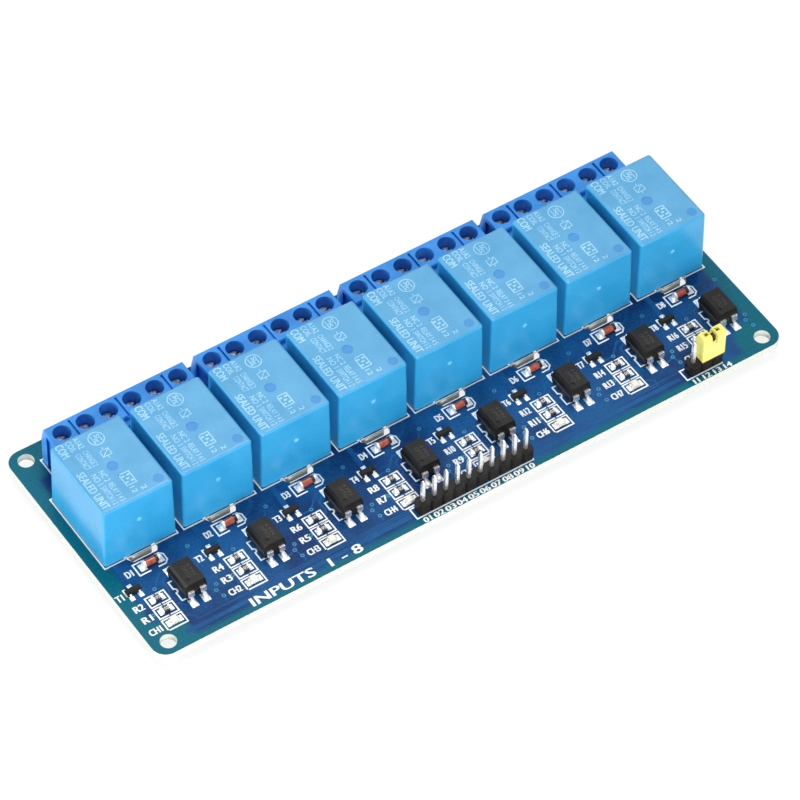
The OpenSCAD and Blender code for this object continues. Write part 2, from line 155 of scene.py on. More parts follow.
def ramp(tree, value, low, high, first, last):
    """Colours from first, at low, to last, at high."""
    node = tree.nodes.new("ShaderNodeValToRGB")
    node.color_ramp.elements[0].position = low
    node.color_ramp.elements[1].position = high
    node.color_ramp.elements[0].color = (*first, 1)
    node.color_ramp.elements[1].color = (*last, 1)
    tree.links.new(value, node.inputs[0])
    return node.outputs[0]


def spread(tree, value, low, high):
    """A value from 0.3 to 0.7 made one from low to high."""
    node = tree.nodes.new("ShaderNodeMapRange")
    node.inputs["From Min"].default_value = 0.3
    node.inputs["From Max"].default_value = 0.7
    node.inputs["To Min"].default_value = low
    node.inputs["To Max"].default_value = high
    tree.links.new(value, node.inputs["Value"])
    return node.outputs[0]


def fade(tree, value, low, high):
    """0 at low and 1 at high, held beyond them."""
    node = tree.nodes.new("ShaderNodeMapRange")
    node.inputs["From Min"].default_value = low
    node.inputs["From Max"].default_value = high
    tree.links.new(value, node.inputs["Value"])
    return node.outputs[0]


def maths(tree, operation, first, second=0.0):
    """A sum on sockets or plain numbers."""
    node = tree.nodes.new("ShaderNodeMath")
    node.operation = operation
    for socket, value in zip(node.inputs, (first, second)):
        if isinstance(value, (int, float)):
            socket.default_value = value
        else:
            tree.links.new(value, socket)
    return node.outputs[0]


def mix_colour(tree, factor, first, second):
    """First where factor is 0, second where it is 1; each a socket or a plain colour."""
    node = tree.nodes.new("ShaderNodeMix")
    node.data_type = "RGBA"
    tree.links.new(factor, node.inputs["Factor"])
    for socket, value in zip((node.inputs[6], node.inputs[7]), (first, second)):
        if isinstance(value, tuple):
            socket.default_value = (*value, 1)
        else:
            tree.links.new(value, socket)
    return node.outputs[2]


def bump(tree, shader, height, strength, distance):
    """Relief on the shader's normal."""
    node = tree.nodes.new("ShaderNodeBump")
    node.inputs["Strength"].default_value = strength
    node.inputs["Distance"].default_value = distance
    tree.links.new(height, node.inputs["Height"])
    tree.links.new(node.outputs[0], shader.inputs["Normal"])


def moulded(name, dark, light, rough=0.35, grain=3.0, depth=0.004, coat=0.0, shine=0.5,
            top_haze=None):
    """Moulded plastic: a soft cloud of two close colours and a fine moulded grain.

    The last argument is a height in millimetres and the two colours above it: a painted haze,
    whiter and duller than the rest, that stands in for the sheen of light on the top faces.
    """
    material, tree, shader = new_material(name)
    place = place_node(tree)
    cloud = noise(tree, place, 0.16, 4.0)
    colour = ramp(tree, cloud, 0.35, 0.68, dark, light)
    # Painted haze: above the height the colour turns whiter and duller, standing in for the sheen
    # of light on the top faces.
    if top_haze:
        height, haze_dark, haze_light = top_haze
        above = fade(tree, split_axes(tree, place)[2], height, height + 0.25)
        painted_haze = ramp(tree, cloud, 0.35, 0.68, haze_dark, haze_light)
        colour = mix_colour(tree, above, colour, painted_haze)
    tree.links.new(colour, shader.inputs["Base Color"])
    fine = noise(tree, place, grain, 4.0, 0.6)
    tree.links.new(spread(tree, fine, rough - 0.05, rough + 0.07), shader.inputs["Roughness"])
    bump(tree, shader, fine, 0.25, depth * MM)
    shader.inputs["Specular IOR Level"].default_value = shine
    shader.inputs["Coat Weight"].default_value = coat
    shader.inputs["Coat Roughness"].default_value = 0.15
    return material


def metal(name, dark, light, rough=0.22, grain=1.2, depth=0.01, bright=1.0):
    """Plated or soldered metal: uneven brightness and a slightly rippled face."""
    material, tree, shader = new_material(name)
    place = place_node(tree)
    cloud = noise(tree, place, grain, 3.0)
    tree.links.new(ramp(tree, cloud, 0.3, 0.7, dark, light), shader.inputs["Base Color"])
    fine = noise(tree, place, grain * 4, 3.0)
    tree.links.new(spread(tree, fine, rough - 0.06, rough + 0.1), shader.inputs["Roughness"])
    bump(tree, shader, cloud, 0.3, depth * MM)
    shader.inputs["Metallic"].default_value = bright
    return material


def solder_mask():
    """Blue mask: navy over the copper pour, teal over bare laminate, pale laminate at cut edges."""
    navy = (0.004, 0.034, 0.130)
    navy_light = (0.008, 0.085, 0.250)
    teal = (0.001, 0.112, 0.165)
    laminate = (0.60, 0.64, 0.56)
    laminate_light = (0.78, 0.80, 0.74)
    # edges of the copper pour, in millimetres, and how softly it ends at each
    pour_x, side_soft = 66.4, 0.4
    pour_front, front_soft = BOARD_LOW.y / MM + 1.4, 0.6
    hole_clear, hole_soft = 5.2, 0.6
    material, tree, shader = new_material("blue_mask")
    place = place_node(tree)
    x, y, _ = split_axes(tree, place)
    across = maths(tree, "ABSOLUTE", x)
    along = maths(tree, "ABSOLUTE", y)
    in_x = fade(tree, across, pour_x + side_soft, pour_x - side_soft)
    in_y = fade(tree, y, pour_front - front_soft, pour_front + front_soft)
    side = maths(tree, "SUBTRACT", across, HOLE_X / MM)
    deep = maths(tree, "SUBTRACT", along, HOLE_Y / MM)
    side_square = maths(tree, "MULTIPLY", side, side)
    deep_square = maths(tree, "MULTIPLY", deep, deep)
    reach = maths(tree, "ADD", side_square, deep_square)
    off_hole = fade(tree, reach, (hole_clear - hole_soft) ** 2, (hole_clear + hole_soft) ** 2)
    pour = maths(tree, "MULTIPLY", maths(tree, "MULTIPLY", in_x, in_y), off_hole)
    cloud = ramp(tree, noise(tree, place, 0.09, 3.0), 0.38, 0.62, navy, navy_light)
    mask = mix_colour(tree, pour, teal, cloud)
    # the faces that look up or down carry the mask, and the cut walls show layered laminate
    coordinates = tree.nodes.new("ShaderNodeTexCoord")
    upright = maths(tree, "ABSOLUTE", split_axes(tree, coordinates.outputs["Normal"])[2])
    flat = maths(tree, "GREATER_THAN", upright, 0.5)
    layers = tree.nodes.new("ShaderNodeMapping")
    layers.inputs["Scale"].default_value = (0.6, 0.6, 6.0)
    tree.links.new(place, layers.inputs["Vector"])
    threads = noise(tree, layers.outputs[0], 1.6, 3.0)
    weave = ramp(tree, threads, 0.3, 0.7, laminate, laminate_light)
    tree.links.new(mix_colour(tree, flat, weave, mask), shader.inputs["Base Color"])
    fine = noise(tree, place, 1.4, 4.0)
    tree.links.new(spread(tree, fine, 0.22, 0.32), shader.inputs["Roughness"])
    bump(tree, shader, fine, 0.2, 0.006 * MM)
    shader.inputs["Specular IOR Level"].default_value = 0.12
    return material


def glass(name, colour):
    """Tinted diode glass, nearly filled by the metal studs inside it."""
    material, tree, shader = new_material(name)
    place = place_node(tree)
    cloud = noise(tree, place, 1.5, 2.0)
    dim = tuple(c * 0.6 for c in colour)
    tree.links.new(ramp(tree, cloud, 0.35, 0.65, dim, colour), shader.inputs["Base Color"])
    shader.inputs["Roughness"].default_value = 0.06
    shader.inputs["Coat Weight"].default_value = 0.6
    shader.inputs["Coat Roughness"].default_value = 0.05
    return material


MASK = solder_mask()
MASK_TRACK = moulded(
    "track_mask", (0.007, 0.066, 0.205), (0.012, 0.100, 0.275),
    rough=0.26, grain=1.5, depth=0.006, shine=0.12)
MASK_RING = moulded(
    "ring_mask", (0.030, 0.210, 0.400), (0.060, 0.310, 0.520),
    rough=0.26, grain=2.0, depth=0.006, shine=0.3)
PRINT = moulded(
    "white_print", (0.84, 0.86, 0.86), (0.93, 0.94, 0.93),
    rough=0.55, grain=4.0, depth=0.01)
SOLDER = metal(
    "bright_solder", (0.86, 0.87, 0.88), (0.96, 0.96, 0.95),
    rough=0.3, grain=1.0, depth=0.02, bright=0.45)
TIN = metal(
    "tin_plate", (0.84, 0.85, 0.86), (0.95, 0.95, 0.94),
    rough=0.24, grain=1.6, depth=0.004, bright=0.85)
STEEL = metal(
    "plated_steel", (0.62, 0.64, 0.66), (0.92, 0.92, 0.93),
    rough=0.3, grain=2.4, depth=0.03, bright=0.75)
# Painted glints: the clamp screws' colour spreads from near black to white, standing in for glints
# on their plated heads.
SCREW = metal(
    "clamp_screw", (0.20, 0.21, 0.23), (0.98, 0.98, 0.98),
    rough=0.28, grain=1.8, depth=0.4, bright=0.35)
BRASS = metal(
    "spring_brass", (0.50, 0.27, 0.09), (0.72, 0.46, 0.19),
    rough=0.25, grain=1.5, depth=0.01)
# The relay case carries a painted haze of sheen on its top faces, from 0.35 mm below the top.
RELAY_BLUE = moulded(
    "relay_blue", (0.026, 0.332, 0.655), (0.038, 0.382, 0.720),
    rough=0.3, grain=5.0, depth=0.004, coat=0.25,
    top_haze=(RELAY_TOP / MM - 0.35, (0.052, 0.298, 0.555), (0.080, 0.352, 0.625)))
# Painted shade: a darker blue for the floors of the relays' top recesses.
RELAY_RECESS_SHADE = moulded(
    "relay_recess", (0.018, 0.215, 0.540), (0.026, 0.255, 0.600),
    rough=0.3, grain=5.0, depth=0.004, coat=0.3)
# Painted highlight: the pale blue of the relays' front pips stands in for a glint.
GATE_HIGHLIGHT = moulded(
    "gate_pip_highlight", (0.11, 0.50, 0.80), (0.22, 0.62, 0.90),
    rough=0.3, grain=4.0, depth=0.004)
RELAY_INK = moulded(
    "relay_ink", (0.27, 0.56, 0.76), (0.42, 0.68, 0.84),
    rough=0.5, grain=6.0, depth=0.006)
TERMINAL_BLUE = moulded(
    "terminal_blue", (0.020, 0.228, 0.665), (0.046, 0.325, 0.860),
    rough=0.3, grain=4.0, depth=0.004, shine=0.3)
RESIN = moulded(
    "black_resin", (0.006, 0.005, 0.004), (0.016, 0.014, 0.012),
    rough=0.42, grain=4.0, depth=0.02, shine=0.2)
RESISTOR = moulded(
    "resistor_coat", (0.020, 0.018, 0.018), (0.035, 0.030, 0.030),
    rough=0.4, grain=4.0, depth=0.01)
HEADER = moulded(
    "header_plastic", (0.005, 0.004, 0.004), (0.015, 0.012, 0.010),
    rough=0.45, grain=3.0, depth=0.03, shine=0.2)
CAP_YELLOW = moulded(
    "cap_yellow", (0.76, 0.71, 0.13), (0.84, 0.80, 0.25),
    rough=0.4, grain=4.0, depth=0.006, shine=0.3)
IVORY = moulded(
    "lamp_ivory", (0.74, 0.71, 0.62), (0.84, 0.82, 0.74),
    rough=0.45, grain=4.0, depth=0.01)
LENS = moulded(
    "lamp_lens", (0.80, 0.77, 0.64), (0.90, 0.88, 0.78),
    rough=0.2, grain=2.0, depth=0.004, coat=0.3)
AMBER = glass("amber_glass", (0.50, 0.095, 0.038))
BAND = moulded(
    "diode_band", (0.012, 0.011, 0.012), (0.030, 0.024, 0.024),
    rough=0.25, grain=4.0, depth=0.004)
FAINT = moulded(
    "laser_mark", (0.040, 0.035, 0.032), (0.075, 0.066, 0.060),
    rough=0.6, grain=5.0, depth=0.01, shine=0.3)
# Painted highlight: the parting lines' lighter grey stands in for the light caught along them.
SEAM_HIGHLIGHT = moulded(
    "parting_line_highlight", (0.10, 0.10, 0.09), (0.22, 0.21, 0.19),
    rough=0.5, grain=1.0, depth=0.01)
# Painted shade: a near-black disc stands in for the shade inside each via's bore.
SHADE = moulded(
    "via_bore_shade", (0.002, 0.012, 0.030), (0.004, 0.020, 0.050),
    rough=0.5, grain=4.0, depth=0.004, shine=0.1)


def finish_nodes():
    """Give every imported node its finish."""
    finishes = {
        "pcb": MASK, "relay_pins": TIN, "terminal_screws": SCREW, "terminal_clamps": STEEL,
        "terminal_pins": TIN, "opto_leads": TIN, "diode_glass": AMBER, "diode_caps": SOLDER,
        "transistor_bodies": RESIN, "transistor_leads": TIN, "resistor_bodies": RESISTOR,
        "resistor_ends": SOLDER, "led_bases": IVORY, "led_lenses": LENS,
        "input_header_base": HEADER, "input_header_pins": TIN, "selector_header_base": HEADER,
        "selector_header_pins": TIN, "jumper_cap": CAP_YELLOW, "jumper_clip": BRASS,
        "relay_solder": SOLDER, "terminal_solder": SOLDER, "header_solder": SOLDER,
    }
    for i in range(CHANNELS):
        finishes[f"relay_case_{i + 1}"] = RELAY_BLUE
        finishes[f"opto_body_{i + 1}"] = RESIN
    for i in range(GROUPS * BLOCKS):
        finishes[f"terminal_housing_{i + 1}"] = TERMINAL_BLUE
    for name, material in finishes.items():
        mesh = frame["nodes"][name].data
        if not mesh.materials:
            mesh.materials.append(material)
        for k in range(len(mesh.materials)):
            mesh.materials[k] = material


# ---------------------------------------------------------------- mesh tools

def piece(name, bm, material, body="board"):
    """Make the bmesh a piece that rides on a body."""
    mesh = bpy.data.meshes.new(name)
    bm.to_mesh(mesh)
    bm.free()
    mesh.materials.append(material)
    thing = bpy.data.objects.new(name, mesh)
    bpy.context.scene.collection.objects.link(thing)
    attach(thing, body)


def block(bm, low, high):
    """A box between two corners."""
    low, high = Vector(low), Vector(high)
    size = high - low
    matrix = Matrix.Translation((low + high) / 2) @ Matrix.Diagonal((*size, 1))
    bmesh.ops.create_cube(bm, size=1, matrix=matrix)


def stroke(bm, points, width, z, thick=INK):
    """A drawn line of the given width through the points, in metres.

    Its runs differ by a hair in height, so that their tops never lie in one plane.
    """
    for k, (start, end) in enumerate(zip(points, points[1:])):
        run = hypot(end[0] - start[0], end[1] - start[1])
        lift = RUN_HAIR * (k % 3)
        turn = Matrix.Rotation(atan2(end[1] - start[1], end[0] - start[0]), 4, "Z")
        middle = Vector(((start[0] + end[0]) / 2, (start[1] + end[1]) / 2, z))
        size = Matrix.Diagonal((run + width, width, (thick + lift) * 2, 1))
        bmesh.ops.create_cube(bm, size=1, matrix=Matrix.Translation(middle) @ turn @ size)


def arc(x, y, radius, start, end, steps):
    """Points along an arc, angles in degrees."""
    angles = [radians(start + (end - start) * k / steps) for k in range(steps + 1)]
    return [(x + radius * cos(a), y + radius * sin(a)) for a in angles]


def label(bm, words, low, high, z, strike=0.17 * MM):
    """Bold words: struck twice, a little to the side."""
    for k in range(2):
        shift = (k - 0.5) * strike
        inset = strike / 2
        lettering(bm, words, (low[0] + inset + shift, low[1]),
                  (high[0] - inset + shift, high[1]), z, 0, INK + k * STRIKE_HAIR)


def pin_number(bm, words, x, front, back):
    """Plain numbers centred on x, a narrow cell for each 1 and a wide one for the rest."""
    narrow, wide = 0.31, 0.56
    half = sum(narrow if figure == "1" else wide for figure in words) * MM
    label(bm, words, (x - half, front), (x + half, back), TOP)


def lettering(bm, words, low, high, z, turn=0, thick=INK):
    """Raised words that fill the box from low to high, in metres. A turn is in degrees."""
    curve = bpy.data.curves.new("words", "FONT")
    curve.body = words
    curve.resolution_u = 3
    holder = bpy.data.objects.new("words", curve)
    mesh = bpy.data.meshes.new_from_object(holder)
    part = bmesh.new()
    part.from_mesh(mesh)
    bmesh.ops.rotate(part, verts=part.verts, matrix=Matrix.Rotation(radians(turn), 3, "Z"))
    xs = [v.co.x for v in part.verts]
    ys = [v.co.y for v in part.verts]
    scale = Vector(((high[0] - low[0]) / (max(xs) - min(xs)),
                    (high[1] - low[1]) / (max(ys) - min(ys)), 1))
    shift = Vector((low[0] - min(xs) * scale.x, low[1] - min(ys) * scale.y, z - thick))
    for v in part.verts:
        v.co = Vector((v.co.x * scale.x, v.co.y * scale.y, 0)) + shift
    made = bmesh.ops.extrude_face_region(part, geom=part.faces[:])
    lifted = [v for v in made["geom"] if isinstance(v, bmesh.types.BMVert)]
    bmesh.ops.translate(part, verts=lifted, vec=(0, 0, thick * 2))
    bmesh.ops.recalc_face_normals(part, faces=part.faces)
    done = bpy.data.meshes.new("words")
    part.to_mesh(done)
    part.free()
    bm.from_mesh(done)
    for data in (mesh, done):
        bpy.data.meshes.remove(data)
    bpy.data.objects.remove(holder)
    bpy.data.curves.remove(curve)


def blob(bm, x, y, z, size):
    """A rounded mound with its middle at x, y, z and its three half sizes."""
    matrix = Matrix.Translation((x, y, z)) @ Matrix.Diagonal((*size, 1))
    bmesh.ops.create_uvsphere(bm, u_segments=16, v_segments=10, radius=1, matrix=matrix)


def disc(bm, x, y, z, radius, height, segments):
    """A flat round plate, half above z and half below."""
    bmesh.ops.create_cone(bm, cap_ends=True, segments=segments, radius1=radius, radius2=radius,
                          depth=height, matrix=Matrix.Translation((x, y, z)))


# ---------------------------------------------------------------- white print on the board

def print_channel(bm, i):
    """The outlines and labels round one relay and its driver parts."""
    def at(x, y):
        return channel(i, x, y)

    def draw(points, width=LINE):
        stroke(bm, [at(*p) for p in points], width, TOP)

    def name(words, left, right, front, back):
        label(bm, words, at(left, front), at(right, back), TOP)

    # relay, with a lighter line between the ends of its slot
    side = RELAY_HALF / MM + 0.12
    depth = (RELAY_BACK - RELAY_FRONT) / MM
    slot_half = 3.35
    front_line = -0.17
    back_line = depth + 0.2
    draw([(-slot_half, front_line), (-side, front_line), (-side, back_line), (side, back_line),
          (side, front_line), (slot_half, front_line)])
    draw([(-slot_half, front_line), (slot_half, front_line)], LINE * 0.8)
    # diode
    front, back = DIODE_Y - 1.45, DIODE_Y + 1.35
    draw([(-1.0, back), (-3.2, back), (-3.2, front), (-1.0, front)])
    draw([(1.6, back), (2.3, back), (3.0, -2.85), (3.0, -4.25), (2.3, front), (0.9, front)])
    name(f"D{i + 1}", -5.5, -3.95, -4.3, -2.8)
    # transistor
    draw([(-7.35, -6.15), (-7.7, -6.15), (-7.7, -7.7)])
    name(f"T{i + 1}", -9.9, -8.35, -8.2, -6.7)
    # chip resistors
    for k, (front, back) in enumerate(((-12.4, -9.95), (-15.4, -12.9))):
        for end, inner in ((-5.4, -3.6), (-1.4, -3.05)):
            draw([(inner, front), (end, front), (end, back), (inner, back)])
        middle = (front + back) / 2
        name(f"R{2 * i + 2 - k}", -8.4, -6.3, middle - 0.75, middle + 0.75)
    # chip lamp
    front, back = -18.4, -15.9
    draw([(-5.45, front), (-5.45, back), (-1.35, back), (-1.35, front), (-5.45, front)])
    name(f"CH{i + 1}", -8.8, -6.15, -17.9, -16.45)
    # opto-isolator
    notch = arc(0.2, -11.35, 0.5, 90, -90, 8)
    draw([(1.3, -9.05), (0.2, -9.05)] + notch + [(0.2, -13.9), (1.3, -13.9)])


def print_headers(bm):
    """The outlines and plain pin numbers of the two headers."""
    front = BOARD_LOW.y + 1.7 * MM
    back = front + 2.6 * MM

    def draw(*points):
        """A line through points, each x in millimetres and y in metres."""
        stroke(bm, [(x * MM, y) for x, y in points], LINE, TOP)

    draw((-11.9, back), (-12.95, back), (-12.95, front), (12.9, front), (12.9, front + 0.8 * MM))
    draw((10.2, front), (10.2, front + 0.7 * MM))
    for k in range(INPUT_PINS):
        x = (k - (INPUT_PINS - 1) / 2) * PIN_PITCH + 0.1 * MM
        pin_number(bm, f"{k + 1:02d}", x, BOARD_LOW.y + 0.12 * MM, BOARD_LOW.y + 1.3 * MM)
    draw((49.0, back), (48.0, back), (48.0, front), (56.0, front), (56.0, front + 0.9 * MM))
    for k in range(4):
        x = (49.4 + k * 2.4) * MM
        pin_number(bm, f"{k + 11}", x, BOARD_LOW.y + 0.15 * MM, BOARD_LOW.y + 1.3 * MM)


def print_board():
    """All the white print: channels, headers, a plain title and the terminals' outlines."""
    bm = bmesh.new()
    for i in range(CHANNELS):
        print_channel(bm, i)
    print_headers(bm)
    label(bm, "INPUTS  1 - 8", (-49.0 * MM, BOARD_LOW.y + 0.95 * MM),
          (-25.0 * MM, BOARD_LOW.y + 2.95 * MM), TOP, 0.2 * MM)
    for g in range(GROUPS):
        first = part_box(f"terminal_housing_{g * BLOCKS + 1}")
        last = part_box(f"terminal_housing_{g * BLOCKS + BLOCKS}")
        left = first[0].x - 0.3 * MM
        right = last[1].x + 0.2 * MM
        back = first[1].y + 0.25 * MM
        front = first[0].y - 0.25 * MM
        stroke(bm, [(left, front), (left, back), (right, back), (right, front)], LINE, TOP)
    piece("board_print", bm, PRINT)


# ---------------------------------------------------------------- tracks and vias

def top_tracks():
    """Copper tracks under the mask, round each channel's parts and along the front."""
    bm = bmesh.new()
    # a width and its points for each track of one channel, in millimetres
    routes = [
        (1.1, [(-6.0, 1.0), (-6.0, -2.2), (-6.2, -6.1)]),
        (0.8, [(-2.2, -3.5), (-4.0, -3.5), (-6.0, -2.2)]),
        (0.8, [(2.2, -3.5), (4.4, -3.0), (6.0, -1.2), (6.0, 1.0)]),
        (0.4, [(4.15, -7.0), (5.6, -6.4), (7.63, -3.75)]),
        (0.35, [(1.61, -7.0), (0.0, -6.3), (-1.2, -7.4), (-2.67, -8.95)]),
        (0.35, [(-5.25, -8.6), (-4.3, -8.95), (-2.67, -8.95)]),
        (0.35, [(-7.15, -8.6), (-7.15, -9.6), (-5.6, -11.1), (-4.5, -11.1)]),
        (0.35, [(-2.3, -11.1), (-0.9, -11.1), (-0.5, -10.6), (-0.5, -8.2), (1.2, -7.2)]),
        (0.35, [(-2.3, -14.1), (-0.6, -14.1), (0.6, -15.5), (1.61, -15.5)]),
        (0.35, [(4.15, -15.5), (5.4, -15.7), (6.63, -15.25), (7.33, -14.05)]),
        (0.35, [(-4.5, -14.1), (-5.97, -13.95)]),
        (0.35, [(-4.5, -17.1), (-5.3, -16.9), (-5.97, -16.2), (-5.97, -13.95)]),
        (0.35, [(6.63, -15.25), (7.13, -17.05), (7.13, -18.2)]),
    ]
    for i in range(CHANNELS):
        for k, (width, points) in enumerate(routes):
            stroke(bm, [channel(i, *p) for p in points], width * MM, TOP, TOP_COPPER + HAIR * k)
        # each channel's signal runs along the front to the input header
        outward = min(i, CHANNELS - 1 - i)
        side = -1 if i < CHANNELS / 2 else 1
        row = -18.9 - 0.5 * outward
        x, y = channel(i, 0.4, row)
        points = [channel(i, -2.3, -17.1), channel(i, -0.5, -17.3), channel(i, 0.4, -18.2), (x, y)]
        if outward < CHANNELS / 2 - 1:
            points.append((side * 13.4 * MM, y))
        stroke(bm, points, 0.3 * MM, TOP, TOP_COPPER + 0.0055 * MM)
    # a wide power track in front of the channels, on each side of the input header
    for left, right in ((-62.0, -14.2), (14.6, 46.5)):
        y = BOARD_LOW.y + 2.7 * MM
        stroke(bm, [(left * MM, y), (right * MM, y)], 0.9 * MM, TOP, TOP_COPPER + 0.006 * MM)
    piece("top_tracks", bm, MASK_TRACK)


def pole_x(number):
    """Middle of one terminal pole, counted from the left."""
    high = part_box(f"terminal_housing_{number // 2 + 1}")[1]
    from_right = (1.5 if number % 2 == 0 else 0.5) * POLE_PITCH
    return high.x - from_right - DOVETAIL


def under_tracks():
    """Wide contact tracks and thin signal tracks on the underside."""
    bm = bmesh.new()
    for i in range(CHANNELS):
        legs = [pole_x(3 * i + k) for k in range(3)]
        routes = [
            (2.4, [channel(i, -6.0, 16.6), (legs[0], POLE_Y)]),
            (2.4, [channel(i, 0.0, 2.4), channel(i, 0.0, 14.5), (legs[1], POLE_Y)]),
            (2.4, [channel(i, 6.0, 16.6), (legs[2], POLE_Y)]),
            (0.7, [channel(i, -6.0, 4.4), channel(i, -6.0, -2.6)]),
            (0.7, [channel(i, 6.0, 4.4), channel(i, 6.0, -1.2), channel(i, 7.63, -3.75)]),
            (0.4, [channel(i, 7.33, -14.05), channel(i, 7.33, -5.0), channel(i, 7.63, -3.75)]),
            (0.4, [channel(i, -2.67, -8.95), channel(i, -2.67, -12.0), channel(i, -5.97, -13.95)]),
        ]
        for k, (width, points) in enumerate(routes, 1):
            stroke(bm, points, width * MM, UNDER, UNDER_COPPER + HAIR * k)
    for row in (-5.3, -12.6):
        ends = [channel(0, -6.0, row), channel(CHANNELS - 1, 7.3, row)]
        stroke(bm, ends, 1.0 * MM, UNDER, UNDER_COPPER + 0.005 * MM)
    for k in range(INPUT_PINS):
        step = k - (INPUT_PINS - 1) / 2
        x = INPUT_X + step * PIN_PITCH
        back = HEADER_Y + (2.2 + 0.45 * abs(step)) * MM
        stroke(bm, [(x, HEADER_Y), (x, back)], 0.35 * MM, UNDER, UNDER_COPPER)
    piece("under_tracks", bm, MASK_TRACK)


def vias():
    """Tented vias: a raised ring of mask round a dark disc of painted shade where the bore is, on
    both faces.
    """
    ring, bore = bmesh.new(), bmesh.new()
    for i in range(CHANNELS):
        for place in VIAS:
            x, y = channel(i, *place)
            for z in (TOP, UNDER):
                disc(ring, x, y, z, 0.41 * MM, 0.06 * MM, 16)
                disc(bore, x, y, z, 0.18 * MM, 0.068 * MM, 16)
    piece("via_rings", ring, MASK_RING)
    piece("via_bores", bore, SHADE)


# ---------------------------------------------------------------- solder on the lands

def lands():
    """Solder on the lands of the surface parts."""
    bm = bmesh.new()
    land_height = 0.06 * MM

    def joint(i, x, y, land, mound, toe=0.0):
        """A flat land and the mound of solder on it, which leans forward by toe, in millimetres."""
        x, y = channel(i, x, y)
        half_x, half_y = (size * MM / 2 for size in land)
        block(bm, (x - half_x, y - half_y, TOP - INK), (x + half_x, y + half_y, TOP + land_height))
        blob(bm, x, y - toe * MM, TOP, [size * MM for size in mound])

    for i in range(CHANNELS):
        for side in (-1, 1):
            lead_x = OPTO_X + side * OPTO_LEAD
            joint(i, lead_x, OPTO_ROWS[0], (1.4, 2.0), (0.7, 0.95, 0.55), 0.05)
            joint(i, lead_x, OPTO_ROWS[1], (1.4, 2.0), (0.62, 0.9, 0.42), 0.1)
            joint(i, side * 1.85, DIODE_Y, (1.4, 1.7), (0.55, 0.75, 0.5))
            for row in RESISTOR_ROWS:
                joint(i, CHIP_X + side * 1.1, row, (0.82, 1.35), (0.36, 0.6, 0.42))
            joint(i, CHIP_X + side * 1.22, CHIP_LAMP_Y, (0.82, 1.35), (0.36, 0.6, 0.3))
            joint(i, TRANSISTOR_X + side * 0.95, TRANSISTOR_ROWS[0], (0.9, 1.1), (0.36, 0.46, 0.26))
        joint(i, TRANSISTOR_X, TRANSISTOR_ROWS[1], (0.9, 1.1), (0.36, 0.46, 0.26))
    piece("surface_solder", bm, SOLDER)


# ---------------------------------------------------------------- marks on the small parts

def diode_bands():
    """The dark band round each diode's glass."""
    bm = bmesh.new()
    low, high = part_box("diode_glass")
    axis = (low.z + high.z) / 2
    radius = (high.z - low.z) / 2 + 0.012 * MM
    turned = Matrix.Rotation(radians(90), 4, "Y")
    for i in range(CHANNELS):
        x, y = channel(i, 1.0, DIODE_Y)
        bmesh.ops.create_cone(bm, cap_ends=True, segments=32, radius1=radius, radius2=radius,
                              depth=0.62 * MM, matrix=Matrix.Translation((x, y, axis)) @ turned)
    piece("diode_bands", bm, BAND)


def resistor_numbers():
    """A plain value on each chip resistor."""
    bm = bmesh.new()
    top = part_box("resistor_bodies")[1].z
    for i in range(CHANNELS):
        for row in RESISTOR_ROWS:
            lettering(bm, "102", channel(i, CHIP_X - 0.55, row - 0.32),
                      channel(i, CHIP_X + 0.55, row + 0.32), top)
    piece("resistor_numbers", bm, PRINT)


def opto_marks():
    """Faint plain words on each opto-isolator's top."""
    bm = bmesh.new()
    for i in range(CHANNELS):
        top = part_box(f"opto_body_{i + 1}")[1].z
        for words, left, right in (("OPTO", 2.35, 3.15), ("4 PIN", 3.45, 4.15)):
            lettering(bm, words, channel(i, left, -12.7), channel(i, right, -9.8), top, -90)
    piece("opto_marks", bm, FAINT)


def opto_seam_highlights():
    """The moulds' parting line along both long walls of each opto-isolator: a real ridge, lighter
    grey as a painted highlight.
    """
    bm = bmesh.new()
    proud, half, inset = 0.015 * MM, 0.05 * MM, 0.25 * MM
    for i in range(CHANNELS):
        low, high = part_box(f"opto_body_{i + 1}")
        middle = low.z + 0.54 * (high.z - low.z)
        for x in (low.x, high.x):
            block(bm, (x - proud, low.y + inset, middle - half),
                  (x + proud, high.y - inset, middle + half))
    piece("opto_seam_highlights", bm, SEAM_HIGHLIGHT)


# ---------------------------------------------------------------- marks on the relays

def recess_shades():
    """Painted shade: darker discs on the floors of the moulded dimple and the vent mark on every
    relay.
    """
    bm = bmesh.new()
    for i in range(CHANNELS):
        for place, radius, deep in RECESSES:
            x, y = channel(i, *place)
            bmesh.ops.create_circle(bm, cap_ends=True, segments=32, radius=radius * MM,
                                    matrix=Matrix.Translation((x, y, RELAY_TOP - deep * MM)))
    piece("relay_recess_floors", bm, RELAY_RECESS_SHADE)


def gate_pip_highlight(i):
    """The moulding pip on one relay's front wall, which leans back a little, pale with a painted
    highlight standing in for its glint.
    """
    bm = bmesh.new()
    lean = 0.12 * MM
    pip = (0.5 * MM, 0.16 * MM, 0.5 * MM)
    blob(bm, RELAY_X[i], RELAY_FRONT + lean, RELAY_TOP - PIP_DROP, pip)
    piece(f"gate_pip_highlight_{i + 1}", bm, GATE_HIGHLIGHT)


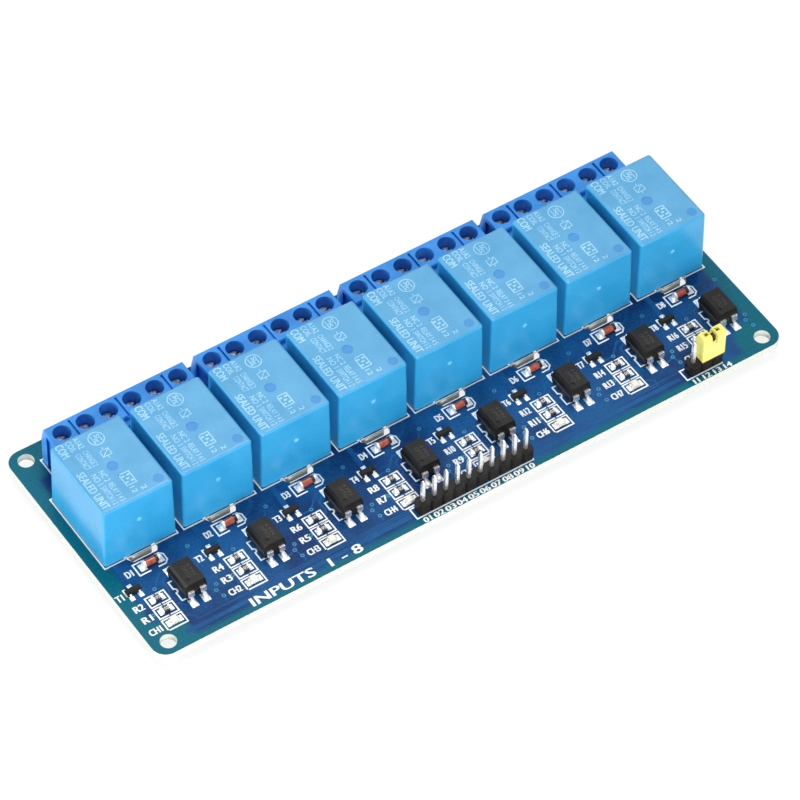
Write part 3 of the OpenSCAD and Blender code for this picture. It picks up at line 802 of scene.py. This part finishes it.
def relay_print(i):
    """Plain marks on one relay's top: words, a coil and a change-over contact."""
    bm = bmesh.new()
    middle = Vector((RELAY_X[i], (RELAY_FRONT + RELAY_BACK) / 2))

    def at(x, y):
        return middle.x + x * MM, middle.y + y * MM

    def column(words, left, right, front, back, strike=0.0):
        """Words that read towards the front. A strike makes them bolder."""
        for k in range(2 if strike else 1):
            shift = (k - 0.5) * strike
            lettering(bm, words, at(left, front + shift), at(right, back + shift),
                      RELAY_TOP, -90, FILM * (1 + k / 4))

    def draw(points, width=0.15):
        stroke(bm, [at(*p) for p in points], width * MM, RELAY_TOP, FILM)

    bold = 0.06
    column("COM", -6.75, -5.15, 5.6, 8.9, bold)
    column("SEALED UNIT", -6.75, -5.15, -8.4, 1.2, bold)
    blocks = ((6.0, 8.8), (1.1, 5.2), (-3.1, -0.4), (-8.4, -3.7))
    rows = ((-4.6, -3.45, ("COIL", "CONTACT", "NO 1", "SWITCH 1 2")),
            (-3.05, -1.9, ("A1A2", "CHANGE 2", "NC 2", "RELAY 3 4 5")))
    for left, right, words in rows:
        for word, (front, back) in zip(words, blocks):
            column(word, left, right, front, back)
    # change-over contact in a ring
    draw(arc(0.85, 6.6, 1.5, 0, 360, 28), 0.17)
    for x in (0.1, 0.85, 1.6):
        draw([(x, 5.75), (x, 7.45)])
    draw([(0.1, 6.6), (1.6, 6.6)])
    draw([(0.25, 5.75), (1.35, 7.35)])
    # coil
    draw([(-0.3, 3.6), (1.5, 3.6), (1.5, 2.1), (-0.3, 2.1), (-0.3, 3.6)])
    draw([(-0.3, 2.1), (1.5, 3.6)])
    draw([(0.6, 3.6), (0.6, 4.2)])
    draw([(0.6, 2.1), (0.6, 1.6)])
    # plain pin picture
    draw([(-0.2, -3.0), (1.8, -3.0), (1.8, -5.9), (-0.2, -5.9), (-0.2, -3.0)], 0.2)
    for x, y in ((0.25, -3.7), (1.3, -3.7), (0.25, -5.2), (1.3, -5.2), (0.8, -4.45)):
        draw([(x - 0.14, y), (x + 0.14, y)], 0.34)
    column("12", -0.1, 0.9, -8.0, -6.5)
    column("2", 1.75, 2.75, -8.2, -7.3)
    piece(f"relay_print_{i + 1}", bm, RELAY_INK)


# ---------------------------------------------------------------- camera, light and floor

def camera():
    """A long lens from the front left, high up, with a slight roll."""
    lens = bpy.data.cameras.new("camera")
    lens.lens = 231.55
    lens.sensor_width = 36
    lens.clip_start = 0.05
    lens.clip_end = 10
    eye = bpy.data.objects.new("camera", lens)
    place = Vector((-0.34644, -0.51037, 0.7435))
    aim = Vector((0.00006, -0.00058, 0.0035))
    roll = Matrix.Rotation(radians(0.9), 4, "Z")
    eye.matrix_world = Matrix.Translation(place) @ facing(aim - place) @ roll
    bpy.context.scene.collection.objects.link(eye)
    bpy.context.scene.camera = eye


def facing(direction):
    """The turn that points a camera or lamp along a direction."""
    return direction.to_track_quat("-Z", "Y").to_matrix().to_4x4()


def lamp(name, place, size, power):
    """A soft square lamp that faces the board."""
    light = bpy.data.lights.new(name, "AREA")
    light.size = size
    light.energy = power
    thing = bpy.data.objects.new(name, light)
    place = Vector(place)
    thing.matrix_world = Matrix.Translation(place) @ facing(-place)
    bpy.context.scene.collection.objects.link(thing)


def world():
    """A pale surround: white to the camera and through glass, softer in the gloss."""
    gloss_share, fill = 0.6, 0.24
    sky = bpy.data.worlds.new("studio")
    sky.use_nodes = True
    bpy.context.scene.world = sky
    tree = sky.node_tree
    back = tree.nodes["Background"]
    path = tree.nodes.new("ShaderNodeLightPath").outputs
    gloss = maths(tree, "MULTIPLY", path["Is Glossy Ray"], gloss_share)
    seen = maths(tree, "MAXIMUM", path["Is Camera Ray"], path["Is Transmission Ray"])
    share = maths(tree, "MULTIPLY", maths(tree, "MAXIMUM", seen, gloss), 1 - fill)
    tree.links.new(maths(tree, "ADD", share, fill), back.inputs["Strength"])
    back.inputs["Color"].default_value = (1, 1, 1, 1)


def floor_white():
    """White that keeps the board's shadow close to it, and plain white farther off."""
    near_glow, near, far = 0.8, 0.2, 0.7
    material = bpy.data.materials.new("floor")
    material.use_nodes = True
    tree = material.node_tree
    tree.nodes.clear()
    lit = tree.nodes.new("ShaderNodeBsdfDiffuse")
    lit.inputs["Color"].default_value = (0.9, 0.9, 0.9, 1)
    glow = tree.nodes.new("ShaderNodeEmission")
    glow.inputs["Strength"].default_value = 1.05
    blend = tree.nodes.new("ShaderNodeMixShader")
    output = tree.nodes.new("ShaderNodeOutputMaterial")
    path = tree.nodes.new("ShaderNodeLightPath").outputs
    seen = maths(tree, "MAXIMUM", path["Is Camera Ray"], path["Is Glossy Ray"])
    seen = maths(tree, "MAXIMUM", seen, path["Is Transmission Ray"])
    place = tree.nodes.new("ShaderNodeTexCoord")
    away = tree.nodes.new("ShaderNodeVectorMath")
    away.operation = "LENGTH"
    tree.links.new(place.outputs["Object"], away.inputs[0])
    rise = maths(tree, "MULTIPLY", fade(tree, away.outputs["Value"], near, far), 1 - near_glow)
    share = maths(tree, "ADD", rise, near_glow)
    tree.links.new(maths(tree, "MULTIPLY", seen, share), blend.inputs[0])
    tree.links.new(lit.outputs[0], blend.inputs[1])
    tree.links.new(glow.outputs[0], blend.inputs[2])
    tree.links.new(blend.outputs[0], output.inputs[0])
    return material


def floor():
    """A plain floor under the board."""
    bm = bmesh.new()
    bmesh.ops.create_grid(bm, x_segments=1, y_segments=1, size=3)
    mesh = bpy.data.meshes.new("floor")
    bm.to_mesh(mesh)
    bm.free()
    mesh.materials.append(floor_white())
    thing = bpy.data.objects.new("floor", mesh)
    bpy.context.scene.collection.objects.link(thing)


def studio():
    """Camera, surround, floor and four soft lamps."""
    camera()
    world()
    floor()
    lamp("key", (0.12, 0.22, 0.97), size=0.5, power=5.5)
    lamp("front", (-0.14, -0.45, 0.22), size=0.25, power=2.4)
    lamp("side", (-0.62, 0.22, 0.16), size=0.25, power=2.4)
    lamp("back", (0.35, 0.75, 0.70), size=0.7, power=1.1)
    bpy.context.scene.view_settings.view_transform = "Standard"


# ---------------------------------------------------------------- the whole board

studio()
finish_nodes()
print_board()
top_tracks()
under_tracks()
vias()
lands()
diode_bands()
resistor_numbers()
opto_marks()
opto_seam_highlights()
recess_shades()
for number in range(CHANNELS):
    relay_print(number)
    gate_pip_highlight(number)
